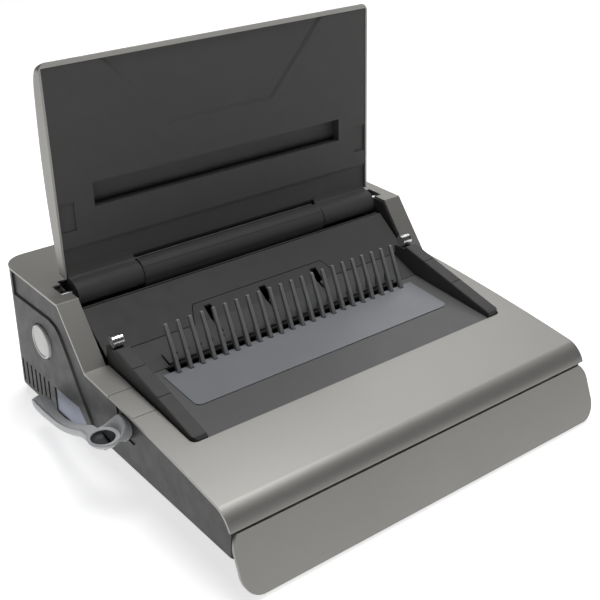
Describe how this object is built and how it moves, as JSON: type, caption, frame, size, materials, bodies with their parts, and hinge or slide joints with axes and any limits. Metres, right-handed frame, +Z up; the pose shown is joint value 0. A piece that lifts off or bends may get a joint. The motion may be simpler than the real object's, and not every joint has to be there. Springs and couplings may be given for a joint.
{
  "type": "comb binding machine",
  "caption": "Electric comb binding machine with a flip-up lid, a comb-opening lever and tines, a paper edge dial, a full-width storage drawer and a chip drawer.",
  "frame": {"origin": "on the resting plane, under the middle of the whole machine's outline with its lever", "axes": "+X to the right and along the machine's width for a user who stands at -Y, +Y to the back, +Z up"},
  "size_m": [0.498, 0.45, 0.3863],
  "materials": {
    "silver_shell": "satin silver-grey paint on plastic",
    "dark_housing": "fine matte texture",
    "graphite_plastic": "fine matte texture",
    "tray_plastic": "fine matte texture",
    "tine_plastic": "satin",
    "rest_film": "smooth satin film",
    "lever_plastic": "satin blue-grey",
    "dial_plastic": "satin pale silver",
    "window_plastic": "translucent lavender",
    "chrome": "polished",
    "steel": "brushed",
    "gear_housing": "cast and blasted",
    "rubber": "matte",
    "board": "circuit board and its parts",
    "black_plastic": "satin"
  },
  "bodies": {
    "base": {"base_pan": "dark_housing", "feet": "rubber", "left_side": "dark_housing", "right_side": "dark_housing", "back_panel": "dark_housing", "case_screws": "steel", "top_cover": "silver_shell", "lever_saddle": "silver_shell", "left_cheek": "graphite_plastic", "right_cheek": "graphite_plastic", "work_tray": "tray_plastic", "paper_rest": "rest_film", "tine_bar": "tine_plastic", "comb_deck": "graphite_plastic", "throat_cover": "graphite_plastic", "left_arm": "graphite_plastic", "right_arm": "graphite_plastic", "arm_pins": "chrome", "hinge_trough": "graphite_plastic", "hinge_barrel": "graphite_plastic", "hinge_brackets": "black_plastic", "lid_pins": "chrome", "die_plate": "steel", "punch_guide": "steel", "throat_floor": "steel", "throat_frames": "steel", "bearing_blocks": "steel", "gearbox": "gear_housing", "motor": "steel", "motor_bracket": "steel", "control_board": "board", "power_inlet": "black_plastic", "switch_frame": "black_plastic", "dial_bearings": "graphite_plastic", "lever_bearing": "graphite_plastic", "drawer_runners": "graphite_plastic", "bin_runners": "graphite_plastic", "chip_window": "window_plastic"},
    "lid": {"lid_shell": "silver_shell", "lid_panel": "graphite_plastic"},
    "lever": {"comb_lever": "lever_plastic"},
    "comb_hooks": {"hook_bar": "graphite_plastic"},
    "dial": {"guide_dial": "dial_plastic"},
    "paper_guide": {"edge_guide": "graphite_plastic"},
    "cam_drive": {"camshaft": "steel"},
    "punch": {"punch_beam": "steel"},
    "storage_drawer": {"drawer_front": "silver_shell", "drawer_tray": "graphite_plastic"},
    "chip_drawer": {"chip_bin": "graphite_plastic", "bin_front": "dark_housing"},
    "rocker": {"power_rocker": "black_plastic"}
  },
  "joints": [
    {"name": "lid_hinge", "type": "hinge", "parent": "base", "child": "lid", "pos_m": [0.018, 0.12, 0.15], "axis": [1, 0, 0], "range_deg": [0, 107.5]},
    {"name": "lever_hinge", "type": "hinge", "parent": "base", "child": "lever", "pos_m": [-0.202, -0.0215, 0.074], "axis": [1, 0, 0], "range_deg": [0, 110]},
    {"name": "hook_slide", "type": "slide", "parent": "base", "child": "comb_hooks", "axis": [0, 0.9477, 0.3193], "range_m": [0, 0.0161]},
    {"name": "dial_turn", "type": "hinge", "parent": "base", "child": "dial", "pos_m": [-0.202, 0.1418, 0.0943], "axis": [1, 0, 0], "range_deg": [-151, 151]},
    {"name": "guide_slide", "type": "slide", "parent": "base", "child": "paper_guide", "axis": [1, 0, 0], "range_m": [-0.01, 0.01]},
    {"name": "cam_turn", "type": "hinge", "parent": "base", "child": "cam_drive", "pos_m": [0.018, 0.15, 0.062], "axis": [1, 0, 0], "range_deg": [0, 181]},
    {"name": "punch_slide", "type": "slide", "parent": "base", "child": "punch", "axis": [0, -1, 0], "range_m": [0, 0.01]},
    {"name": "drawer_slide", "type": "slide", "parent": "base", "child": "storage_drawer", "axis": [0, -1, 0], "range_m": [0, 0.18]},
    {"name": "bin_slide", "type": "slide", "parent": "base", "child": "chip_drawer", "axis": [1, 0, 0], "range_m": [0, 0.35]},
    {"name": "rocker_tilt", "type": "hinge", "parent": "base", "child": "rocker", "pos_m": [-0.115, 0.217, 0.036], "axis": [1, 0, 0], "range_deg": [0, 12]}
  ],
  "couplings": [
    {"joint": "hook_slide", "follows": "lever_hinge", "m_per_rad": 0.00833},
    {"joint": "dial_turn", "follows": "guide_slide", "rad_per_m": 261.8},
    {"joint": "cam_turn", "follows": "punch_slide", "rad_per_m": 314.16}
  ]
}
